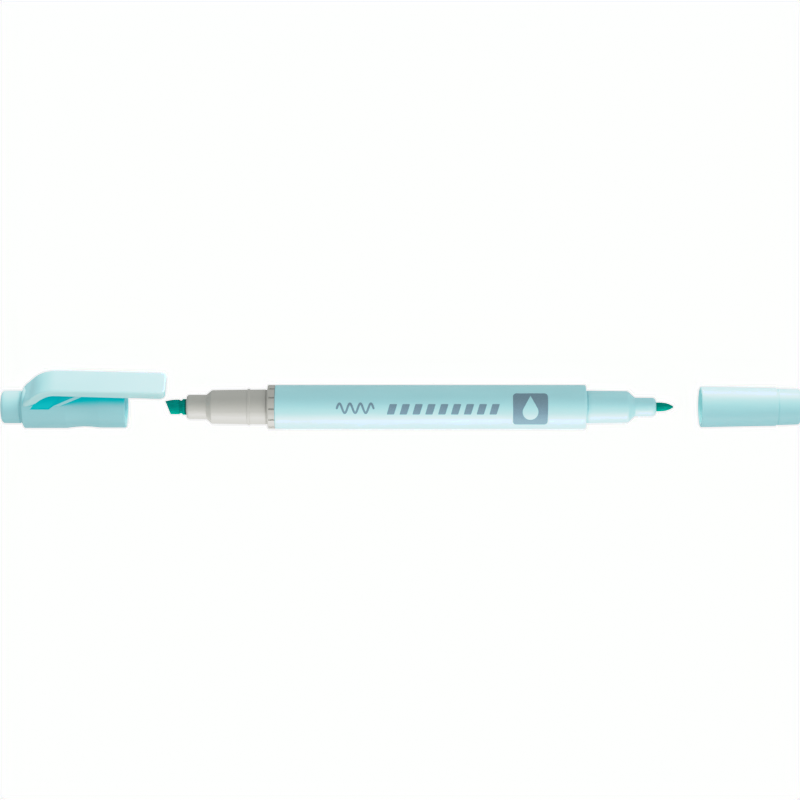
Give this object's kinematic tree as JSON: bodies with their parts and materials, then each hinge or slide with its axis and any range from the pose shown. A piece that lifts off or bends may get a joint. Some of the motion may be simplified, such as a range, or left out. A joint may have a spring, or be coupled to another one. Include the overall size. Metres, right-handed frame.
{
  "type": "twin tip highlighter",
  "caption": "Double-ended highlighter with a slanted chisel nib and a fine nib, its clip cap and its plain cap pulled off in line with the barrel.",
  "frame": {"origin": "on the pen's axis at mid-length of the barrel", "axes": "+X along the pen from the chisel end to the fine end, +Z towards the side the clip stands on"},
  "size_m": [0.2099, 0.0116, 0.0156],
  "materials": {
    "pastel_plastic": "smooth satin moulding",
    "grey_plastic": "fine matt moulding",
    "nib_fibre": "ink-soaked porous fibre",
    "ink_wick": "ink-soaked bonded fibre",
    "clear_film": "thin clear film",
    "natural_plastic": "natural soft moulding"
  },
  "bodies": {
    "pen": {"barrel": "pastel_plastic", "chisel_holder": "grey_plastic", "fine_holder": "pastel_plastic", "chisel_nib_stem": "nib_fibre", "fine_nib": "nib_fibre", "ink_reservoir": "ink_wick", "reservoir_film": "clear_film"},
    "nib_tip": {"chisel_nib_tip": "nib_fibre"},
    "clip_cap": {"clip_cap_shell": "pastel_plastic", "clip_cap_crown": "pastel_plastic", "clip_cap_liner": "natural_plastic"},
    "clip": {"clip_arm": "pastel_plastic"},
    "fine_cap": {"fine_cap_shell": "pastel_plastic", "fine_cap_crown": "pastel_plastic", "fine_cap_liner": "natural_plastic"}
  },
  "joints": [
    {"name": "clip_cap_slide", "type": "slide", "parent": "pen", "child": "clip_cap", "axis": [1, 0, 0], "range_m": [0, 0.03708]},
    {"name": "fine_cap_slide", "type": "slide", "parent": "pen", "child": "fine_cap", "axis": [-1, 0, 0], "range_m": [0, 0.0301]},
    {"name": "clip_flex", "type": "hinge", "parent": "clip_cap", "child": "clip", "pos_m": [-0.09045, 0, 0.00958], "axis": [0, -1, 0], "range_deg": [0, 6], "stiffness_Nm_per_rad": 0.15},
    {"name": "nib_flex", "type": "hinge", "parent": "pen", "child": "nib_tip", "pos_m": [-0.0656, 0, 0], "axis": [0, -0.7071, 0.7071], "range_deg": [-10, 10], "stiffness_Nm_per_rad": 0.05}
  ]
}
